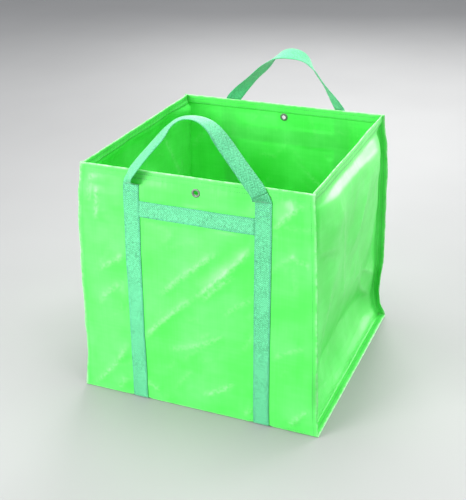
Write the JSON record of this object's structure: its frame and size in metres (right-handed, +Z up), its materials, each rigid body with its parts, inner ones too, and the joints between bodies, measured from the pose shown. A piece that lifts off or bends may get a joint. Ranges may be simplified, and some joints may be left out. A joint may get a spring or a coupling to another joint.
{
  "type": "rope storage bag",
  "caption": "Open-topped self-standing cube bag of woven cloth with webbing carrying handles over the front and back walls.",
  "frame": {"origin": "on the floor under the middle of the bag", "axes": "+Z up, -Y out of the front wall, +X to the right when the front wall is faced"},
  "size_m": [0.4638, 0.4842, 0.5627],
  "materials": {
    "woven_cloth": "coated woven polyethylene cloth with a satin sheen",
    "webbing": "coarse herringbone-woven polypropylene webbing",
    "thread": "twisted sewing thread",
    "eyelet_metal": "plated, slightly dulled"
  },
  "bodies": {
    "bag": {"back_box_thread": "thread", "back_crease_thread": "thread", "back_cross_strap": "webbing", "back_eyelet": "eyelet_metal", "back_eyelet_washer": "eyelet_metal", "back_left_band": "webbing", "back_panel": "woven_cloth", "back_right_band": "webbing", "back_strap_thread": "thread", "base_panel": "woven_cloth", "front_box_thread": "thread", "front_crease_thread": "thread", "front_cross_strap": "webbing", "front_eyelet": "eyelet_metal", "front_eyelet_washer": "eyelet_metal", "front_left_band": "webbing", "front_panel": "woven_cloth", "front_right_band": "webbing", "front_strap_thread": "thread", "left_base_band": "webbing", "left_seam_thread": "thread", "left_side_panel": "woven_cloth", "right_base_band": "webbing", "right_seam_thread": "thread", "right_side_panel": "woven_cloth", "rim_hem_thread": "thread"},
    "front_handle_base": {"front_left_handle_root": "webbing", "front_right_handle_root": "webbing"},
    "front_handle_arch": {"front_handle_loop": "webbing"},
    "back_handle_base": {"back_left_handle_root": "webbing", "back_right_handle_root": "webbing"},
    "back_handle_arch": {"back_handle_loop": "webbing"}
  },
  "joints": [
    {"name": "front_handle_root_fold", "type": "hinge", "parent": "bag", "child": "front_handle_base", "pos_m": [0, -0.21487, 0.424], "axis": [1, 0, 0], "range_deg": [0, 120]},
    {"name": "front_handle_rim_fold", "type": "hinge", "parent": "front_handle_base", "child": "front_handle_arch", "pos_m": [0, -0.2106, 0.4515], "axis": [1, 0, 0], "range_deg": [-155, 0]},
    {"name": "back_handle_root_fold", "type": "hinge", "parent": "bag", "child": "back_handle_base", "pos_m": [0, 0.21487, 0.424], "axis": [-1, 0, 0], "range_deg": [0, 120]},
    {"name": "back_handle_rim_fold", "type": "hinge", "parent": "back_handle_base", "child": "back_handle_arch", "pos_m": [0, 0.2106, 0.4515], "axis": [-1, 0, 0], "range_deg": [-155, 0]}
  ]
}
